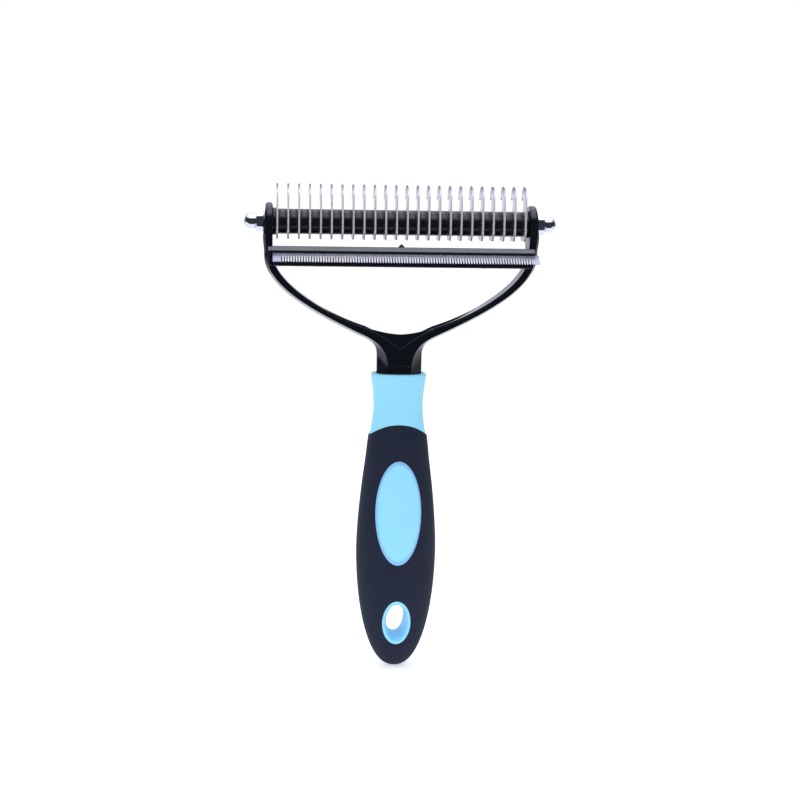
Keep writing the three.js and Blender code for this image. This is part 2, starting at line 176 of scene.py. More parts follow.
# ---- materials ----
class Nodes:
    """A principled material with short calls for the few node types used here."""

    def __init__(self, name, color, roughness, metallic=0.0):
        self.material = bpy.data.materials.new(name)
        self.material.use_nodes = True
        self.tree = self.material.node_tree
        self.shader = self.tree.nodes["Principled BSDF"]
        self.set(**{"Base Color": (*color, 1.0), "Roughness": roughness, "Metallic": metallic})

    def set(self, **values):
        for socket, value in values.items():
            self.shader.inputs[socket.replace("_", " ")].default_value = value

    def node(self, kind, **inputs):
        node = self.tree.nodes.new(kind)
        for socket, value in inputs.items():
            node.inputs[socket.replace("_", " ")].default_value = value
        return node

    def link(self, output, target):
        self.tree.links.new(output, target)

    def place_texture(self, scale=(1.0, 1.0, 1.0)):
        """Object coordinates in millimetres, stretched by scale."""
        coordinates = self.tree.nodes.new("ShaderNodeTexCoord")
        mapping = self.tree.nodes.new("ShaderNodeMapping")
        mapping.inputs["Scale"].default_value = [s / MM for s in scale]
        self.link(coordinates.outputs["Object"], mapping.inputs["Vector"])
        return mapping.outputs["Vector"]

    def noise(self, scale, detail=4.0, stretch=(1.0, 1.0, 1.0), roughness=0.5):
        node = self.node("ShaderNodeTexNoise", Scale=scale, Detail=detail, Roughness=roughness)
        self.link(self.place_texture(stretch), node.inputs["Vector"])
        return node.outputs["Fac"]

    def range(self, value, low, high, source=(0.3, 0.7)):
        node = self.node("ShaderNodeMapRange")
        node.inputs["From Min"].default_value, node.inputs["From Max"].default_value = source
        node.inputs["To Min"].default_value, node.inputs["To Max"].default_value = low, high
        self.link(value, node.inputs["Value"])
        return node.outputs["Result"]

    def tint(self, factor, first, second):
        node = self.tree.nodes.new("ShaderNodeMix")
        node.data_type = "RGBA"
        node.inputs["A"].default_value = (*first, 1.0)
        node.inputs["B"].default_value = (*second, 1.0)
        self.link(factor, node.inputs["Factor"])
        self.link(node.outputs["Result"], self.shader.inputs["Base Color"])

    def height_above(self, start, span, tone):
        """The tone in a narrow range, falling to nothing over a span of height above a start; it masks the
        painted dark reflection on the blade tips.
        """
        coordinates = self.tree.nodes.new("ShaderNodeTexCoord")
        split = self.tree.nodes.new("ShaderNodeSeparateXYZ")
        self.link(coordinates.outputs["Object"], split.inputs["Vector"])
        fade = self.range(split.outputs["Z"], 1.0, 0.0, (start * MM, (start + span) * MM))
        near = self.range(tone, 0.75, 1.0, (0.0, 1.0))
        product = self.node("ShaderNodeMath")
        product.operation = "MULTIPLY"
        self.link(fade, product.inputs[0])
        self.link(near, product.inputs[1])
        return product.outputs["Value"]

    def bump(self, height, strength, distance):
        node = self.node("ShaderNodeBump", Strength=strength, Distance=distance * MM)
        self.link(height, node.inputs["Height"])
        self.link(node.outputs["Normal"], self.shader.inputs["Normal"])


def gloss_black(name, specular):
    m = Nodes(name, (0.003, 0.004, 0.008), 0.16)
    m.set(IOR=1.5, Specular_IOR_Level=specular)
    m.link(m.range(m.noise(0.35, 5.0), 0.12, 0.22), m.shader.inputs["Roughness"])
    m.tint(m.range(m.noise(0.08, 3.0), 0.0, 1.0), (0.002, 0.003, 0.007), (0.004, 0.005, 0.010))
    m.bump(m.noise(0.5, 3.0), 0.05, 0.05)
    return m.material


def spacer_black():
    m = Nodes("satin_black_plastic", (0.004, 0.005, 0.008), 0.24)
    m.link(m.range(m.noise(1.2, 5.0), 0.20, 0.28), m.shader.inputs["Roughness"])
    m.tint(m.range(m.noise(0.3, 3.0), 0.0, 1.0), (0.003, 0.004, 0.006), (0.006, 0.007, 0.010))
    m.bump(m.noise(6.0, 3.0), 0.08, 0.02)
    return m.material


PAINTED_TIP_REFLECTION_SPAN = 2.6  # height over which a blade tip darkens into a painted dark reflection


def steel(name, metallic, dark, bright, tip=None):
    """Ground steel: fine grinding lines up the blade, and a slight drift in tone.

    Above a tip height it darkens: a painted dark reflection on the hook tips."""
    m = Nodes(name, bright, 0.28, metallic)
    grind = m.noise(6.0, 4.0, (1.0, 1.0, 0.08))
    m.link(m.range(grind, 0.22, 0.36), m.shader.inputs["Roughness"])
    tone = m.range(m.noise(0.4, 3.0), 0.0, 1.0)
    if tip is None:
        m.tint(tone, dark, bright)
    else:
        # painted dark reflection: above the tip height the steel takes the dark colour
        m.tint(m.height_above(tip, PAINTED_TIP_REFLECTION_SPAN, tone), dark, bright)
    m.bump(grind, 0.15, 0.01)
    return m.material


def chrome():
    m = Nodes("bright_chrome", (0.62, 0.63, 0.70), 0.06, 1.0)
    m.link(m.range(m.noise(1.0, 5.0), 0.04, 0.10), m.shader.inputs["Roughness"])
    m.bump(m.noise(2.0, 2.0), 0.04, 0.02)
    return m.material


def sky_blue(name, first, second):
    m = Nodes(name, first, 0.45)
    m.link(m.range(m.noise(3.0, 5.0), 0.40, 0.52), m.shader.inputs["Roughness"])
    m.tint(m.range(m.noise(0.05, 2.0), 0.0, 1.0), first, second)
    m.bump(m.noise(14.0, 3.0), 0.10, 0.015)
    return m.material


def grip_rubber():
    m = Nodes("soft_black_rubber", (0.012, 0.016, 0.033), 0.75)
    m.set(IOR=1.45, Specular_IOR_Level=0.35)
    grain = m.noise(5.5, 6.0, roughness=0.65)
    m.link(m.range(grain, 0.66, 0.84), m.shader.inputs["Roughness"])
    m.tint(m.range(m.noise(0.12, 4.0), 0.0, 1.0), (0.007, 0.011, 0.028), (0.010, 0.015, 0.035))
    m.bump(grain, 0.35, 0.03)
    return m.material


GLOSS_BLACK = gloss_black("gloss_black_plastic", 0.5)
BAR_BLACK = gloss_black("bar_black_plastic", 0.95)
SPACER_BLACK = spacer_black()
# the dark colour is a painted dark reflection on the hook tips; the drift between the colours below that
# height is the steel's own tone
COMB_STEEL = steel("polished_blade_steel", 0.45, (0.10, 0.10, 0.15), (0.93, 0.90, 0.97), AXIS_Z + 11.0)
STRIP_STEEL = steel("ground_strip_steel", 0.85, (0.27, 0.275, 0.34), (0.32, 0.325, 0.40))
# a lighter, less metallic copy of the strip steel: painted highlight on the fine teeth
LIT_TOOTH_STEEL = steel("tooth_steel_painted_highlight", 0.6, (0.40, 0.39, 0.42), (0.50, 0.49, 0.51))
CHROME = chrome()
SKY_BLUE = sky_blue("sky_blue_plastic", (0.29, 0.72, 0.97), (0.31, 0.75, 0.99))
# a darker, more violet copy of the sky blue: painted shade for the pad's rim and groove
PAD_RIM_SHADE_BLUE = sky_blue("pad_rim_painted_shade_blue", (0.24, 0.50, 0.90), (0.27, 0.55, 0.94))
RUBBER = grip_rubber()


# ---- fork ----
ARM_STEPS, WEB_STEPS, NECK_STEPS, EAR_STEPS = 34, 16, 6, 26
WEB_SPLIT = 0.765  # where along the inner curve the arm opens into the web
FOLD_WIDTH = 0.55  # from the inner edge to the fold beside it
EAR_ROUND = 1.1  # height of the rounding at the ear's top
EAR_INSET = 1.0
EAR_LEAN, EAR_LEAN_Z, EAR_LEAN_SPAN = 0.5, 177, 6
EAR_BULGE, EAR_BULGE_Z, EAR_BULGE_SPAN = 0.5, 169.5, 3.5
EDGE_ROUND = 0.9
FLANK_SLANT, FLANK_STEPS = 2.9, 12
WEB_FILL = 0.6  # how much of the slant the web takes back
INNER_SLANT = 0.6
NECK_SLANT = 3.2
CREST_FALL = 1.2  # how far the web's top falls towards the back
RIDGE_WIDTH, RIDGE_DROP = 0.36, 0.4


def arm_lines():
    """The four edges of the right arm's front, in X and Z, from under the ear down.

    Three run to the base of the neck, and the inner one ends at the middle of the web."""
    outer = bezier((EAR_OUTER, ARM_TOP_Z), (EAR_OUTER, 152), (38.5, 142.5), (13, 131), ARM_STEPS)
    outer += bezier((13, 131), (10, 129.4), (8.7, 128), (8.7, 124.5), WEB_STEPS)[1:]
    outer += line((8.7, 124.5), (8.7, NECK_BASE_Z), NECK_STEPS)[1:]
    panel = bezier((51.5, ARM_TOP_Z), (51.4, 152.6), (38, 143.5), (13.2, 132.2), ARM_STEPS)
    panel += bezier((13.2, 132.2), (9, 130), (4.9, 127.5), (4.4, 119.5), WEB_STEPS)[1:]
    panel += line((4.4, 119.5), (4.2, NECK_BASE_Z), NECK_STEPS)[1:]
    inner_curve = ((EAR_INNER, ARM_TOP_Z), (48, 149), (16, WEB_Z + 0.5), (0, WEB_Z))
    inner = bezier(*inner_curve, ARM_STEPS, 0, WEB_SPLIT)
    inner += bezier(*inner_curve, WEB_STEPS, WEB_SPLIT, 1)[1:]
    fold = []
    for i in range(ARM_STEPS + 1):
        along = inner[i + 1] - inner[i]
        outward = Vector((-along.y, along.x)).normalized()
        if outward.x < 0:
            outward.negate()
        fold.append(inner[i] + outward * FOLD_WIDTH)
    fold += bezier(fold[-1], (9, 133.1), (4, 130.4), (0, 126.8), WEB_STEPS)[1:]
    fold += line((0, 126.8), (0, NECK_BASE_Z), NECK_STEPS)[1:]
    return outer, panel, fold, inner


def ease(t):
    t = min(1.0, max(0.0, t))
    return t * t * (3 - 2 * t)


def ear_ring(z):
    """One ring of the ear at a height: outer and inner edges and the half depth, rounded over at the top."""
    top = AXIS_Z + EAR_RADIUS
    if z > AXIS_Z:
        depth = math.sqrt(max(0.0, EAR_RADIUS**2 - (z - AXIS_Z) ** 2))
    else:
        rise = (z - ARM_TOP_Z) / (AXIS_Z - ARM_TOP_Z)
        depth = FORK_HALF_DEPTH + (EAR_RADIUS - FORK_HALF_DEPTH) * ease(rise)
    over = max(0.0, (z - (top - EAR_ROUND)) / EAR_ROUND)
    inset = EAR_INSET * (1 - math.sqrt(max(0.0, 1 - over * over)))
    lean = EAR_LEAN * ease((z - EAR_LEAN_Z) / EAR_LEAN_SPAN)
    bulge = EAR_BULGE * math.exp(-(((z - EAR_BULGE_Z) / EAR_BULGE_SPAN) ** 2))
    return EAR_OUTER - inset - (lean - bulge), EAR_INNER + inset, depth


def half_fork():
    """The right half of the fork, as rings of ten points that open at the middle of the neck."""
    rings = []
    top = AXIS_Z + EAR_RADIUS - 0.02
    for i in range(EAR_STEPS):
        z = top + (ARM_TOP_Z - top) * (i / EAR_STEPS) ** 1.8
        outer, inner, depth = ear_ring(z)
        c = min(EDGE_ROUND, depth * 0.6, (outer - inner) * 0.4)
        rings.append([
            (outer, depth - c, z), (outer - c, depth, z), (inner + c * 0.6, depth, z),
            (inner + c * 0.2, depth - c * 0.2, z), (inner, depth - c * 0.6, z),
            (inner, -depth + c * 0.6, z), (inner + c * 0.2, -depth + c * 0.2, z),
            (inner + c * 0.6, -depth, z), (outer - c, -depth, z), (outer, -depth + c, z),
        ])
    outer, panel, fold, inner = arm_lines()
    d = FORK_HALF_DEPTH
    for i in range(ARM_STEPS + WEB_STEPS + 1):
        to_web = ease((i - ARM_STEPS * 0.55) / (ARM_STEPS * 0.45 + WEB_STEPS))
        outer_y = d - EDGE_ROUND - FLANK_SLANT * ease(i / FLANK_STEPS) + WEB_FILL * to_web
        inner_y = d - INNER_SLANT
        crest_fall = CREST_FALL * ease((i - ARM_STEPS * 0.5) / (ARM_STEPS * 0.5))
        o, p, f, n = outer[i], panel[i], fold[i], inner[i]
        ridge = f + (n - f).normalized() * RIDGE_WIDTH
        rings.append([
            (o.x, outer_y, o.y), (p.x, d, p.y), (f.x, d, f.y),
            (ridge.x, d - RIDGE_DROP, ridge.y),
            (n.x, inner_y, n.y - crest_fall),
            (n.x, -inner_y, n.y), (ridge.x, RIDGE_DROP - d, ridge.y),
            (f.x, -d, f.y), (p.x, -d, p.y), (o.x, -outer_y, o.y),
        ])
    vertices = [p for ring in rings for p in ring]
    faces = loft_faces(len(rings), 10)
    faces.append(tuple(range(9, -1, -1)))
    last = (len(rings) - 1) * 10
    row = [last + k for k in (0, 1, 2, 7, 8, 9)]  # the neck has no inner edge
    outer_y = d - NECK_SLANT
    for i in range(ARM_STEPS + WEB_STEPS + 1, len(outer)):
        o, p, f = outer[i], panel[i], fold[i]
        start = len(vertices)
        vertices += [
            (o.x, outer_y, o.y), (p.x, d, p.y), (f.x, d, f.y),
            (f.x, -d, f.y), (p.x, -d, p.y), (o.x, -outer_y, o.y),
        ]
        new = list(range(start, start + 6))
        for a, b in ((0, 1), (1, 2), (3, 4), (4, 5), (5, 0)):
            faces.append((row[a], row[b], new[b], new[a]))
        row = new
    return [(x, y + MID_Y, z) for x, y, z in vertices], faces


def mirrored(part):
    vertices, faces = part
    return [(-x, y, z) for x, y, z in vertices], [tuple(reversed(face)) for face in faces]


def bar_outline():
    return [
        (BAR_BACK, BAR_BOTTOM_Z), (BAR_BACK, BAR_TOP_Z - 1.8), (BAR_BACK - 0.8, BAR_TOP_Z - 1.0),
        (BAR_FRONT + 1.65, BAR_TOP_Z), (BAR_FRONT, BAR_TOP_Z - 1.6),
        (BAR_FRONT, SEAT_Z), (BAR_BACK - 3, SEAT_Z), (BAR_BACK - 3, BAR_BOTTOM_Z),
    ]


def end_cap_outline():
    return [
        (BAR_FRONT - 0.6, BAR_BOTTOM_Z + 0.3), (BAR_FRONT - 0.2, BAR_TOP_Z - 1.6),
        (BAR_FRONT + 1.4, BAR_TOP_Z - 0.1),
        (0, BAR_TOP_Z - 0.6), (0, BAR_BOTTOM_Z + 0.3),
    ]


def build_fork():
    right = half_fork()
    vertices, faces = merge([right, mirrored(right)])
    fork = add_object("fork_moulding", vertices, faces, GLOSS_BLACK, 24)
    add_bevel(fork, 0.22, 3, 18)
    place(fork, "frame", "fork_plastic", "fork_frame")

    build_neck_boss()
    build_cross_bar()
    build_bar_nub()


BOSS_RISE = 0.55  # how far the boss stands out at its low edge


def build_neck_boss():
    """The small sloped face on the front of the neck."""
    low_edge = COLLAR_TOP_Z + 0.9
    high_edge = COLLAR_TOP_Z + 3.1
    front = MID_Y - FORK_HALF_DEPTH
    facet = [
        (-3.0, front - BOSS_RISE, low_edge), (3.0, front - BOSS_RISE, low_edge),
        (4.0, front - 0.02, high_edge), (-4.0, front - 0.02, high_edge),
    ]
    facet += [(x, front + 1, z) for x, y, z in facet]
    faces = loft_faces(2, 4) + [(3, 2, 1, 0), (4, 5, 6, 7)]
    boss = add_object("neck_boss", facet, faces, GLOSS_BLACK)
    add_bevel(boss, 0.12, 2)
    place(boss, "frame", "fork_plastic")


def build_cross_bar():
    """The bar between the arms, with an end cap beside the strip's left end."""
    left = STRIP_LOW.x - 0.3
    bar = add_object("cross_bar", *merge([
        extruded(bar_outline(), -BAR_HALF_LENGTH, BAR_HALF_LENGTH),
        extruded(end_cap_outline(), -BAR_HALF_LENGTH, left),
    ]), BAR_BLACK, 24)
    add_bevel(bar, 0.3, 3, 20)
    place(bar, "frame", "fork_plastic")


def build_bar_nub():
    """The small rounded nub on the middle of the bar's top."""
    angles = [k * math.pi / 12 for k in range(24)]
    rings = []
    for radius, z in ((1.3, -0.3), (1.05, 0.1), (0.75, 0.5), (0.35, 0.85), (0.08, 1.0)):
        ring = [(radius * math.cos(a), radius * 1.2 * math.sin(a)) for a in angles]
        rings.append([(x, MID_Y - 3.5 + y, BAR_TOP_Z + z) for x, y in ring])
    nub = ring_solid("bar_nub", rings, GLOSS_BLACK)
    place(nub, "frame", "fork_plastic")


# ---- deshedding blade ----
FINE_PITCH = 1.02
FINE_GAPS = 92  # gaps between teeth, one fewer than the teeth
FINE_LENGTH = 3.2
FINE_SECTIONS = (  # distance from the root, half width, half thickness
    (-0.4, 0.40, 0.27), (0.5, 0.37, 0.27), (FINE_LENGTH - 0.5, 0.31, 0.18), (FINE_LENGTH, 0.18, 0.1),
)
STRIP_THICKNESS = 0.5
STRIP_BEND = -8.6
STRIP_START, STRIP_STOP = STRIP_LOW.x, STRIP_HIGH.x - 1.1
STRIP_TIP = (STRIP_LOW.y - MID_Y, STRIP_LOW.z + 0.4)


def build_deshedding_blade():
    """The bent steel strip, with its fine teeth ground to a taper one by one."""
    top = STRIP_HIGH.z
    bottom = top - STRIP_THICKNESS
    tip = Vector(STRIP_TIP)
    bend = Vector((STRIP_BEND, top - STRIP_THICKNESS / 2))
    along = (tip - bend).normalized()
    across = Vector((along.y, -along.x)) * STRIP_THICKNESS / 2
    root = tip - along * FINE_LENGTH
    body = [
        (-1.8, bottom), (-1.8, top), (STRIP_BEND + 0.1, top), tuple(root + across * 0.96),
        tuple(root - across * 0.96), (STRIP_BEND + 0.3, bottom),
    ]
    parts = [extruded(body, STRIP_START, STRIP_STOP)]
    middle = (STRIP_START + STRIP_STOP) / 2
    teeth = []
    for i in range(FINE_GAPS + 1):
        centre = middle + (i - FINE_GAPS / 2) * FINE_PITCH
        teeth.append(fine_tooth(centre, root, along, across))
    teeth_end = FINE_GAPS / 2 * FINE_PITCH + FINE_PITCH * 0.6
    land_root = root - along * 0.3
    land = [
        tuple(land_root + across * 0.9), tuple(land_root - across * 0.9),
        tuple(tip - across * 0.3), tuple(tip + across * 0.3),
    ]
    parts.append(extruded(land, STRIP_START, middle - teeth_end))
    parts.append(extruded(land, middle + teeth_end, STRIP_STOP))
    strip = add_object("fine_toothed_blade", *merge(parts), STRIP_STEEL, 24)
    add_bevel(strip, 0.05, 2, 25)
    place(strip, "frame", "blade_steel", "deshedding_blade")
    # the teeth take the lighter steel, a painted highlight
    comb = add_object("fine_teeth", *merge(teeth), LIT_TOOTH_STEEL, 24)
    add_bevel(comb, 0.05, 2, 25)
    place(comb, "frame", "blade_steel")


def fine_tooth(x, root, along, across):
    """One tooth: wide and full at the root, narrower and thinner at the tip."""
    rings = []
    upright = across.normalized()
    for distance, half, thick in FINE_SECTIONS:
        centre = root + along * distance
        up, down = centre + upright * thick, centre - upright * thick
        for edge, face in ((x - half, up), (x + half, up), (x + half, down), (x - half, down)):
            rings.append((edge, MID_Y + face.x, face.y))
    faces = loft_faces(4, 4)
    faces += [(3, 2, 1, 0), (12, 13, 14, 15)]
    return rings, faces


def build_clamp():
    outline = [
        (BAR_BACK - 3.3, BAR_BOTTOM_Z), (BAR_BACK - 3.3, CLAMP_HIGH.z), (STRIP_BEND + 0.8, CLAMP_HIGH.z),
        (STRIP_TIP[0] + 1.6, BAR_BOTTOM_Z + 1.9), (STRIP_TIP[0] + 1.6, BAR_BOTTOM_Z + 0.4),
        (STRIP_TIP[0] + 5.0, BAR_BOTTOM_Z + 0.4), (STRIP_TIP[0] + 5.0, BAR_BOTTOM_Z),
    ]
    clamp = add_object("clamp_strip", *extruded(outline, CLAMP_LOW.x, CLAMP_HIGH.x), GLOSS_BLACK, 24)
    add_bevel(clamp, 0.25, 3, 20)
    place(clamp, "frame", "fork_plastic", "blade_clamp")


def build_clamp_screws():
    """Pan heads under the clamp strip, each with a dark cross in place of its recess, painted shade."""
    for side, node in ((-1, "clamp_screw_left"), (1, "clamp_screw_right")):
        low, high = box_mm(node)
        centre = (low + high) / 2
        angles = [k * math.pi / 16 for k in range(32)]
        rings = []
        for radius, z in ((1.2, -0.25), (1.9, -0.1), (2.15, 0.25), (2.2, 0.7), (2.2, 0.9)):
            rings.append([
                (centre.x + radius * math.cos(a), centre.y + radius * math.sin(a), BAR_BOTTOM_Z + z)
                for a in angles
            ])
        head = ring_solid(node + "_head", rings, STRIP_STEEL)
        place(head, "frame", "blade_steel", node)
        # painted shade: two dark blocks stand for the shade inside the cross recess
        for turn in (0, 1):
            half = (1.2, 0.22) if turn == 0 else (0.22, 1.2)
            slot_box = [
                (centre.x + sx * half[0], centre.y + sy * half[1], BAR_BOTTOM_Z + z)
                for z in (-0.27, 0.2)
                for sx, sy in ((-1, -1), (1, -1), (1, 1), (-1, 1))
            ]
            faces = loft_faces(2, 4) + [(3, 2, 1, 0), (4, 5, 6, 7)]
            recess = add_object(f"{node}_recess_{turn + 1}", slot_box, faces, GLOSS_BLACK)
            place(recess, "frame", "blade_steel")


# ---- comb pack ----
def blade_outline():
    """The blade's side outline about the rod, from the low front corner round the back.

    A squared body, and a tooth that sweeps up and hooks over backwards."""
    half_body = 6.4
    top = box_mm(BLADES[0])[1].z - AXIS_Z
    points = [(-3.8, -6.5), (3.8, -6.5), (half_body, -3.8), (half_body, 2.0), (4.0, 4.4)]
    points += [tuple(p) for p in bezier((1.6, 4.5), (0.4, 5.6), (-0.2, 7), (0.1, 8.4), 8)]
    points += [tuple(p) for p in bezier((0.1, 8.4), (1.0, 10.9), (3.2, 11.2), (4.6, 9), 12)[1:]]
    points += [tuple(p) for p in bezier((4.6, 9), (4.8, 11.6), (2.6, top - 0.8), (0.2, top), 12)[1:]]
    points += [tuple(p) for p in bezier((0.2, top), (-1.8, top - 0.3), (-3.4, 13.6), (-4.5, 12.7), 8)[1:]]
    points += [tuple(p) for p in bezier((-4.5, 12.7), (-5.7, 11.6), (-half_body, 9), (-half_body, 5), 8)[1:]]
    points.append((-half_body, -3.8))
    return [(y, AXIS_Z + h) for y, h in points]


BLADE_THINNING = 0.08  # taken off each face


def build_blades():
    """All the blades, which share one mesh."""
    low, high = box_mm(BLADES[0])
    half = (high.x - low.x) / 2 - BLADE_THINNING
    pattern = add_object("hooked_blade", *extruded(blade_outline(), -half, half), COMB_STEEL, 24)
    for node in BLADES:
        low, high = box_mm(node)
        blade = bpy.data.objects.new(node + "_ground", pattern.data)
        bpy.context.scene.collection.objects.link(blade)
        blade.location.x = (low.x + high.x) / 2 * MM
        add_bevel(blade, 0.12, 2, 24)
        place(blade, "comb_pack", "blade_steel", node)
    bpy.data.objects.remove(pattern)


TURNED_SEGMENTS = 64


def turned(name, profile, material):
    """A solid turned about the rod's axis from (x, radius) pairs."""
    angles = [2 * math.pi * k / TURNED_SEGMENTS for k in range(TURNED_SEGMENTS)]
    rings = []
    for x, radius in profile:
        rings.append([
            (x, MID_Y + radius * math.cos(a), AXIS_Z + radius * math.sin(a))
            for a in angles
        ])
    return ring_solid(name, rings, material)


SPACER_REACH = 0.14  # each spacer is drawn up to its blades
SPACER_EDGE = 0.2


def build_spacers():
    for node in SPACERS + ["end_spacer_left", "end_spacer_right"]:
        low, high = box_mm(node)
        radius = (high.z - low.z) / 2
        start, stop = low.x - SPACER_REACH, high.x + SPACER_REACH
        edge = SPACER_EDGE
        profile = [
            (start, radius - edge), (start + edge * 0.3, radius - edge * 0.3), (start + edge, radius),
            (stop - edge, radius), (stop - edge * 0.3, radius - edge * 0.3), (stop, radius - edge),
        ]
        place(turned(node + "_turned", profile, SPACER_BLACK), "comb_pack", "spacer_plastic", node)


def hexagon_radius(angle, half_flats):
    sector = (angle + math.pi / 6) % (math.pi / 3) - math.pi / 6
    return half_flats / math.cos(sector)


DOME_RADIUS = 3.1
DOME_STEPS = 10
DOME_SHARE = 0.97  # of a quarter turn, which leaves a small flat
NUT_SEGMENTS = 96


def build_cap_nut(node, body, side):
    """A domed nut: a chamfered hexagon, a neck groove and a polished dome."""
    low, high = box_mm(node)
    start = low.x if side > 0 else high.x
    half_flats = (high.y - low.y) / 2
    length = high.x - low.x
    dome = DOME_RADIUS
    profile = [  # distance from the ear, radius, and whether the hexagon cuts it
        (0.0, 3.3, True), (0.0, 3.5, True), (0.35, 4.1, True),
        (2.3, 4.1, True), (2.75, 3.75, True), (3.0, 3.3, True),
        (3.05, 2.95, False), (3.25, 2.9, False), (3.4, dome, False), (length - dome, dome, False),
    ]
    for k in range(1, DOME_STEPS + 1):
        angle = k / DOME_STEPS * math.pi / 2 * DOME_SHARE
        profile.append((length - dome + dome * math.sin(angle), dome * math.cos(angle), False))
    rings = []
    for along, radius, hexagonal in profile:
        ring = []
        for k in range(NUT_SEGMENTS):
            angle = 2 * math.pi * k / NUT_SEGMENTS
            r = min(radius, hexagon_radius(angle, half_flats)) if hexagonal else radius
            y, z = MID_Y + r * math.cos(angle), AXIS_Z + r * math.sin(angle)
            ring.append((start + side * along, y, z))
        rings.append(ring)
    nut = ring_solid(node + "_domed", rings, CHROME, 28)
    add_bevel(nut, 0.08, 2, 25)
    place(nut, body, "nut_chrome", node)


# ---- handle ----
SWELL_Z = 48.0
GRIP_TOP_Z = 93.3
GRIP_ARCH = 4.7
COLLAR_TOP_Z = CORE_HIGH.z + 0.6
SECTION_POWER = 0.9
GRIP_HALF_WIDTH = 15.7
DEPTH_SHARE = 11.3 / GRIP_HALF_WIDTH
HANDLE_COLUMNS = 144
GRIP_ROWS = 110
COLLAR_STEPS = 40
COLLAR_START = 2.5  # below the grip's arch
LIP_RADIUS = 1.0
LIP_STEPS = 8


def half_width(z):
    """Half width of the handle at a height: rounded tail, palm swell, waisted collar, flared lip."""
    if z <= SWELL_Z:
        fall = min(1.0, (SWELL_Z - z) / SWELL_Z)
        return GRIP_HALF_WIDTH * (1 - fall * fall) ** (1 / 2.3)
    taper = 0.0103 * (min(z, GRIP_TOP_Z) - SWELL_Z) ** 1.6
    swell = GRIP_HALF_WIDTH - taper + 0.35 * ease((z - 82) / 12)
    if z <= GRIP_TOP_Z:
        return swell
    along = (z - GRIP_TOP_Z) / (COLLAR_TOP_Z - GRIP_TOP_Z)
    return swell - 1.55 * math.sin(math.pi * along**0.85) - 0.5 * along


def half_depth(z):
    above = max(0.0, z - SWELL_Z) / (COLLAR_TOP_Z - SWELL_Z)
    return half_width(z) * (DEPTH_SHARE + 0.06 * above)


def section(angle, z, inset=0.0):
    c, s = math.cos(angle), math.sin(angle)
    x = math.copysign(abs(c) ** SECTION_POWER, c) * max(0.02, half_width(z) - inset)
    y = math.copysign(abs(s) ** SECTION_POWER, s) * max(0.02, half_depth(z) - inset)
    return x, MID_Y + y, z


def surface_y(x, z):
    """How far the handle's surface stands from the middle plane at a place."""
    share = min(1.0, abs(x) / half_width(z)) ** (2 / SECTION_POWER)
    return half_depth(z) * max(0.0, 1 - share) ** (SECTION_POWER / 2)


def arch_z(angle):
    return GRIP_TOP_Z + GRIP_ARCH * abs(math.sin(angle)) ** 1.5


def build_grip():
    """The soft sleeve, its top edge rolled over in an arch, with the hanging hole cut through."""
    angles = [2 * math.pi * k / HANDLE_COLUMNS for k in range(HANDLE_COLUMNS)]
    rings = []
    for j in range(1, GRIP_ROWS + 1):
        share = (1 - math.cos(math.pi * j / GRIP_ROWS)) / 2 * 0.96 + 0.04 * j / GRIP_ROWS
        rings.append([section(a, share * (arch_z(a) - 0.35)) for a in angles])
    for inset, lift in ((0.08, -0.15), (0.25, 0.0), (0.6, 0.05), (1.6, 0.05), (1.7, -1.0)):
        rings.append([section(a, arch_z(a) + lift, inset) for a in angles])
    grip = ring_solid("grip_overmould", rings, RUBBER, 50)
    cutter = ellipse_solid("eyelet_cutter", 5.2, 8.65, EYELET_Z, 16)
    cut = grip.modifiers.new("hanging_hole", "BOOLEAN")
    cut.operation = "DIFFERENCE"
    cut.solver = "EXACT"
    cut.object = cutter
    apply_modifiers(grip)
    bpy.data.objects.remove(cutter)
    place(grip, "frame", "grip_rubber", "grip_sleeve")


def ellipse_solid(name, half_x, half_z, z, reach):
    """An upright oval bar along Y, used as a cutter."""
    angles = [2 * math.pi * k / EYELET_COLUMNS for k in range(EYELET_COLUMNS)]
    rings = []
    for y in (-reach, reach):
        rings.append([(half_x * math.cos(a), MID_Y + y, z + half_z * math.sin(a)) for a in angles])
    return ring_solid(name, rings, SKY_BLUE)


def apply_modifiers(obj):
    depsgraph = bpy.context.evaluated_depsgraph_get()
    mesh = bpy.data.meshes.new_from_object(obj.evaluated_get(depsgraph))
    obj.modifiers.clear()
    obj.data = mesh


def build_collar():
    """The blue collar: from inside the grip to a waist, and out to a rolled lip round the neck."""
    angles = [2 * math.pi * k / HANDLE_COLUMNS for k in range(HANDLE_COLUMNS)]
    lip_z = COLLAR_TOP_Z - LIP_RADIUS
    rings = []
    for j in range(COLLAR_STEPS + 1):
        share = j / COLLAR_STEPS
        inset = 0.32 * (1 - ease(share / 0.35))
        heights = [(arch_z(a) - COLLAR_START) * (1 - share) + lip_z * share for a in angles]
        rings.append([section(a, z, inset) for a, z in zip(angles, heights)])
    for k in range(1, LIP_STEPS + 1):
        turn = k / LIP_STEPS * math.pi / 2
        z = lip_z + LIP_RADIUS * math.sin(turn)
        inset = LIP_RADIUS - LIP_RADIUS * math.cos(turn)
        rings.append([section(a, z, inset) for a in angles])
    rings.append([section(a, COLLAR_TOP_Z, 1.6) for a in angles])
    rings.append([section(a, COLLAR_TOP_Z - 0.5, 2.2) for a in angles])
    collar = ring_solid("handle_collar", rings, SKY_BLUE, 50)
    place(collar, "frame", "handle_blue", "handle_core")


PAD_Z, PAD_HALF_X, PAD_HALF_Z = 63.6, 8.95, 20.4
PAD_COLUMNS = 128
PAD_CORE_REACH = 4  # from the middle plane to the pad's hidden back
PAD_RIM = 0.925  # share of the radius where the rim's painted shade, a darker blue, starts
PAD_PROFILE = (  # share of the radius, height over the grip
    (0.0, 0.55), (0.3, 0.52), (0.55, 0.42), (0.72, 0.3), (0.84, 0.17), (0.89, 0.1), (0.91, 0.1),
    (0.925, 0.3), (0.945, 0.44), (0.965, 0.44), (0.985, 0.3), (1.0, 0.05), (1.01, -0.5),
)


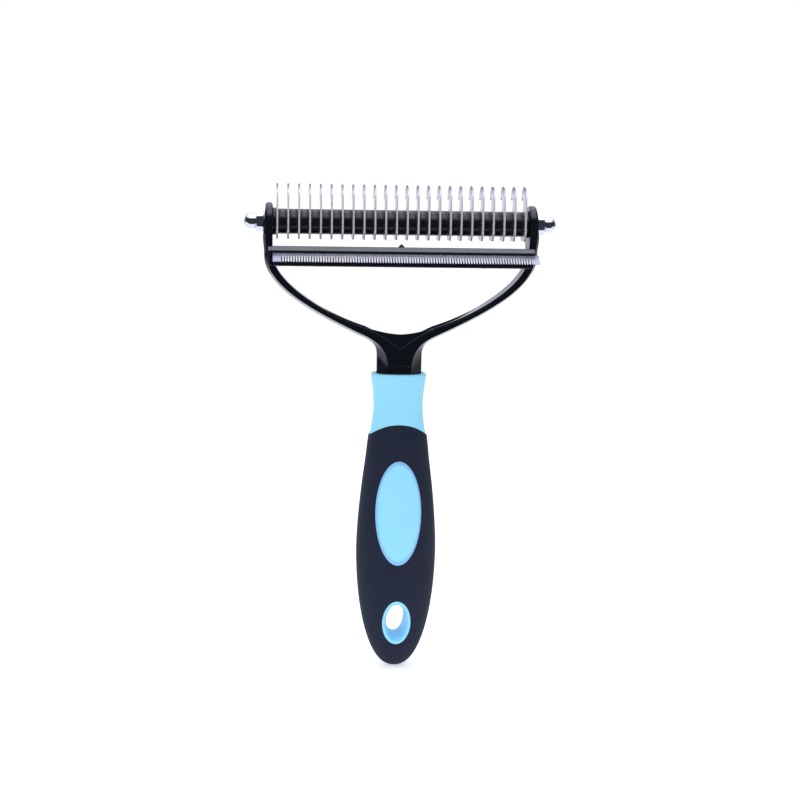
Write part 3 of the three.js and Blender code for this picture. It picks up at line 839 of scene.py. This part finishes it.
def build_pad(name, side):
    """An oval pad that follows the handle's surface, crowned in the middle, with a raised rim."""
    columns = PAD_COLUMNS
    vertices = []
    for share, height in PAD_PROFILE[1:]:
        for k in range(columns):
            angle = 2 * math.pi * k / columns
            x = share * PAD_HALF_X * math.cos(angle)
            z = PAD_Z + share * PAD_HALF_Z * math.sin(angle)
            vertices.append((x, MID_Y + side * (surface_y(x, z) + height), z))
    faces = loft_faces(len(PAD_PROFILE) - 1, columns)
    centre = len(vertices)
    vertices.append((0, MID_Y + side * (surface_y(0, PAD_Z) + PAD_PROFILE[0][1]), PAD_Z))
    faces += [(centre, k, (k + 1) % columns) for k in range(columns)]
    last = (len(PAD_PROFILE) - 2) * columns
    inside = len(vertices)
    vertices.append((0, MID_Y + side * PAD_CORE_REACH, PAD_Z))
    faces += [(inside, last + (k + 1) % columns, last + k) for k in range(columns)]
    pad = add_object(name, vertices, faces, SKY_BLUE, 60)
    # the rim faces take the darker blue, painted shade
    pad.data.materials.append(PAD_RIM_SHADE_BLUE)
    for face in pad.data.polygons:
        x, z = face.center.x / MM, face.center.z / MM - PAD_Z
        if math.hypot(x / PAD_HALF_X, z / PAD_HALF_Z) > PAD_RIM:
            face.material_index = 1
    place(pad, "frame", "handle_blue")


EYELET_Z = 19.5
EYELET_COLUMNS = 96
EYELET_PROFILE = (  # half width, half height, height over the grip at the front and back
    (5.6, 9.05, -0.6), (5.6, 9.05, 0.0), (5.45, 8.9, 0.28), (5.2, 8.65, 0.38),
    (4.95, 8.4, 0.3), (4.65, 8.05, 0.05), (4.4, 7.6, -0.5), (4.15, 7.3, -1.2),
    (3.95, 7.05, -2.2), (3.8, 6.95, -3.5),
)


def build_eyelet():
    """The oval eyelet: a raised rim and a funnel that runs through the handle."""
    columns = EYELET_COLUMNS
    vertices = []
    for side in (-1, 1):
        profile = EYELET_PROFILE if side < 0 else tuple(reversed(EYELET_PROFILE))
        for half_x, half_z, height in profile:
            for k in range(columns):
                angle = 2 * math.pi * k / columns
                x, z = half_x * math.cos(angle), EYELET_Z + half_z * math.sin(angle)
                vertices.append((x, MID_Y + side * (surface_y(x, z) + height), z))
    rows = 2 * len(EYELET_PROFILE)
    faces = loft_faces(rows, columns)
    last = (rows - 1) * columns
    faces += [(last + k, last + (k + 1) % columns, (k + 1) % columns, k) for k in range(columns)]
    eyelet = add_object("hanging_eyelet", vertices, faces, SKY_BLUE, 50)
    place(eyelet, "frame", "handle_blue")


# ---- stage ----
FLOOR_Z = -0.2


def build_floor():
    """A pale floor that glows a little, and stops in front where gloss black would mirror it."""
    material = Nodes("pale_floor", (0.84, 0.87, 0.96), 0.9)
    material.set(**{"Emission Color": (0.92, 0.95, 1, 1), "Emission Strength": 0.5})
    side, front, back = 900, -165, 1100
    outline = ((-side, front), (side, front), (side, back), (-side, back))
    corners = [(x, y, FLOOR_Z) for x, y in outline]
    floor = add_object("floor", corners, [(0, 1, 2, 3)], material.material)


def build_world():
    """White to the camera. To reflections, bright overhead and behind, and dark from the front.

    To all other light, an even white fill."""
    world = bpy.data.worlds.new("studio")
    bpy.context.scene.world = world
    world.use_nodes = True
    tree = world.node_tree
    tree.nodes.clear()
    link = tree.links.new

    def node(kind):
        return tree.nodes.new(kind)

    direction = node("ShaderNodeTexCoord")
    split = node("ShaderNodeSeparateXYZ")
    link(direction.outputs["Generated"], split.inputs["Vector"])

    def rise(axis, start, stop, low, high):
        ramp = node("ShaderNodeMapRange")
        ramp.interpolation_type = "SMOOTHSTEP"
        ramp.inputs["From Min"].default_value = start
        ramp.inputs["From Max"].default_value = stop
        ramp.inputs["To Min"].default_value = low
        ramp.inputs["To Max"].default_value = high
        link(split.outputs[axis], ramp.inputs["Value"])
        return ramp.outputs["Result"]

    brighter = node("ShaderNodeMath")
    brighter.operation = "MAXIMUM"
    link(rise("Y", 0.15, 0.7, 0.06, 1.0), brighter.inputs[0])
    link(rise("Z", 0.5, 0.85, 0.06, 2.8), brighter.inputs[1])
    shine = node("ShaderNodeBackground")
    shine.inputs["Color"].default_value = (0.84, 0.87, 1.0, 1)
    link(brighter.outputs["Value"], shine.inputs["Strength"])
    fill = node("ShaderNodeBackground")
    fill.inputs["Color"].default_value = (1, 1, 1, 1)
    fill.inputs["Strength"].default_value = 0.6
    seen = node("ShaderNodeBackground")
    seen.inputs["Color"].default_value = (1, 1, 1, 1)
    seen.inputs["Strength"].default_value = 1.05
    rays = node("ShaderNodeLightPath")
    by_gloss = node("ShaderNodeMixShader")
    link(rays.outputs["Is Glossy Ray"], by_gloss.inputs["Fac"])
    link(fill.outputs["Background"], by_gloss.inputs[1])
    link(shine.outputs["Background"], by_gloss.inputs[2])
    by_camera = node("ShaderNodeMixShader")
    link(rays.outputs["Is Camera Ray"], by_camera.inputs["Fac"])
    link(by_gloss.outputs["Shader"], by_camera.inputs[1])
    link(seen.outputs["Background"], by_camera.inputs[2])
    output = node("ShaderNodeOutputWorld")
    link(by_camera.outputs["Shader"], output.inputs["Surface"])


def add_area_light(name, place_mm, target_mm, size_mm, power, glossy=True):
    data = bpy.data.lights.new(name, "AREA")
    data.shape = "RECTANGLE"
    data.size, data.size_y = size_mm[0] * MM, size_mm[1] * MM
    data.energy = power
    light = bpy.data.objects.new(name, data)
    bpy.context.scene.collection.objects.link(light)
    light.location = Vector(place_mm) * MM
    aim = Vector(target_mm) * MM - light.location
    light.rotation_euler = aim.to_track_quat("-Z", "Y").to_euler()
    light.visible_glossy = glossy
    light.visible_camera = False


def build_lights():
    add_area_light("overhead", (0, -20, 620), (0, 0, 150), (560, 420), 0.8, glossy=False)
    add_area_light("front_left", (-420, -620, 420), (0, 0, 100), (400, 400), 1.3, glossy=False)
    add_area_light("front_right", (420, -620, 380), (0, 0, 90), (400, 400), 0.8, glossy=False)
    add_area_light("back", (0, 600, 400), (0, 0, 100), (500, 400), 0.8, glossy=False)


CAMERA_PLACE = (-53.8, -614.9, 198.4)
CAMERA_YAW, CAMERA_PITCH, CAMERA_ROLL = -5.06, -8.43, -0.98
CAMERA_LENS = 72.0


def build_camera():
    data = bpy.data.cameras.new("camera")
    data.lens = CAMERA_LENS
    data.sensor_width = 36.0
    data.clip_start = 0.01
    camera = bpy.data.objects.new("camera", data)
    bpy.context.scene.collection.objects.link(camera)
    turn = (
        Matrix.Rotation(math.radians(CAMERA_YAW), 4, "Z")
        @ Matrix.Rotation(math.radians(CAMERA_PITCH), 4, "X")
        @ Matrix.Rotation(math.radians(CAMERA_ROLL), 4, "Y")
        @ Matrix.Rotation(math.pi / 2, 4, "X")
    )
    camera.matrix_world = Matrix.Translation(Vector(CAMERA_PLACE) * MM) @ turn
    bpy.context.scene.camera = camera


def finish_rod():
    """The rod keeps its CAD shape and takes a steel."""
    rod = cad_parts["tie_rod"]
    rod.data.materials.clear()
    rod.data.materials.append(STRIP_STEEL)


build_camera()
build_fork()
build_deshedding_blade()
build_clamp()
build_clamp_screws()
build_blades()
build_spacers()
build_cap_nut("cap_nut_left", "nut_left", -1)
build_cap_nut("cap_nut_right", "nut_right", 1)
finish_rod()
build_grip()
build_collar()
build_pad("thumb_pad_front", -1)
build_pad("thumb_pad_back", 1)
build_eyelet()
build_floor()
build_world()
build_lights()
bpy.context.scene.view_settings.view_transform = "Standard"
